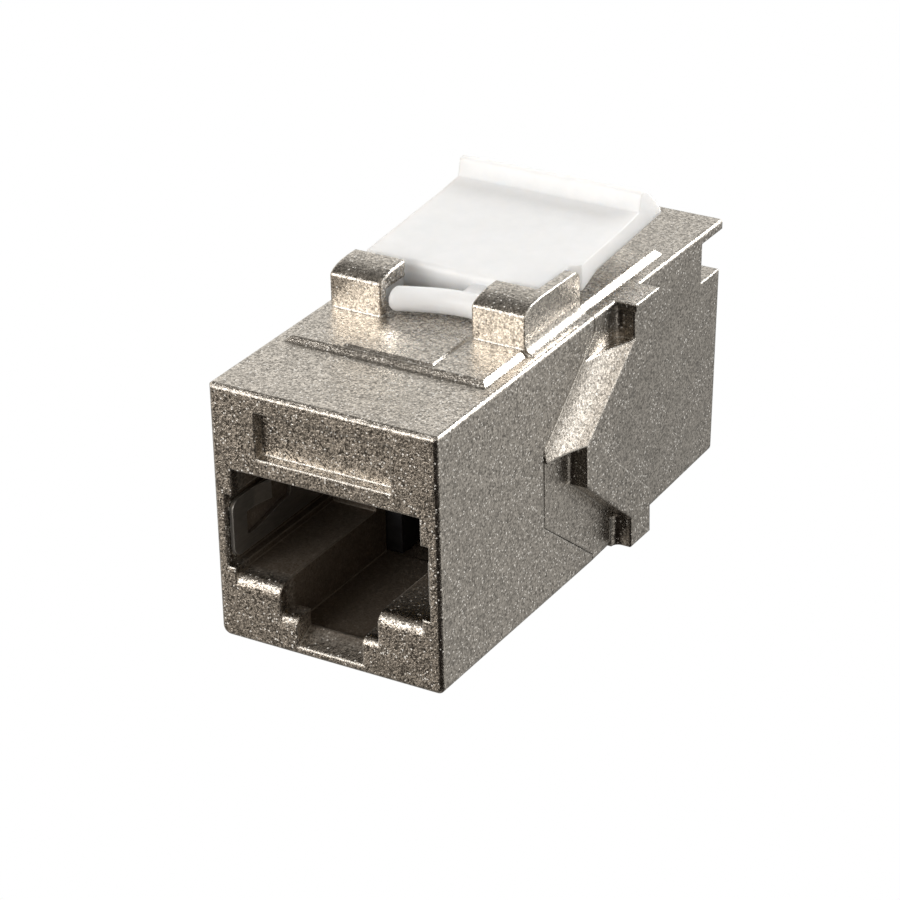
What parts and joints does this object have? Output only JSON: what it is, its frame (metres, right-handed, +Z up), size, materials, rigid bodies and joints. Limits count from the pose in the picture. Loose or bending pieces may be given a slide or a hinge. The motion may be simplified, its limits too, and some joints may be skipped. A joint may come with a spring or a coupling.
{
  "type": "ethernet keystone coupler",
  "caption": "Metal pass-through network coupler with a stepped modular port at each end, zigzag side ribs, a two-piece cast shell and a plastic snap latch on top",
  "frame": {"origin": "middle of the bottom edge of the front port's face", "axes": "+X across to the side with the outer arm, +Y from the front port to the rear port, +Z up to the latch"},
  "size_m": [0.0172, 0.0335, 0.0201],
  "materials": {
    "cast_shell": "satin nickel plating over die-cast zinc, fine sparkling grain",
    "latch_plastic": "white moulded plastic, slightly translucent",
    "carrier_plastic": "black moulded plastic",
    "board": "green circuit board",
    "contact_plating": "gold-plated spring wire",
    "spring_steel": "nickel-plated sheet"
  },
  "bodies": {
    "shell": {"front_housing": "cast_shell", "rear_housing": "cast_shell", "front_carrier": "carrier_plastic", "rear_carrier": "carrier_plastic", "circuit_board": "board", "front_contact_1": "contact_plating", "front_contact_2": "contact_plating", "front_contact_3": "contact_plating", "front_contact_4": "contact_plating", "front_contact_5": "contact_plating", "front_contact_6": "contact_plating", "front_contact_7": "contact_plating", "front_contact_8": "contact_plating", "rear_contact_1": "contact_plating", "rear_contact_2": "contact_plating", "rear_contact_3": "contact_plating", "rear_contact_4": "contact_plating", "rear_contact_5": "contact_plating", "rear_contact_6": "contact_plating", "rear_contact_7": "contact_plating", "rear_contact_8": "contact_plating", "front_left_spring": "spring_steel", "front_right_spring": "spring_steel", "rear_left_spring": "spring_steel", "rear_right_spring": "spring_steel"},
    "latch": {"latch": "latch_plastic"}
  },
  "joints": [
    {"name": "latch_hinge", "type": "hinge", "parent": "shell", "child": "latch", "pos_m": [0, 0.0127, 0.01688], "axis": [-1, 0, 0], "range_deg": [0, 7], "stiffness_Nm_per_rad": 0.03, "springref_deg": -17.19}
  ]
}
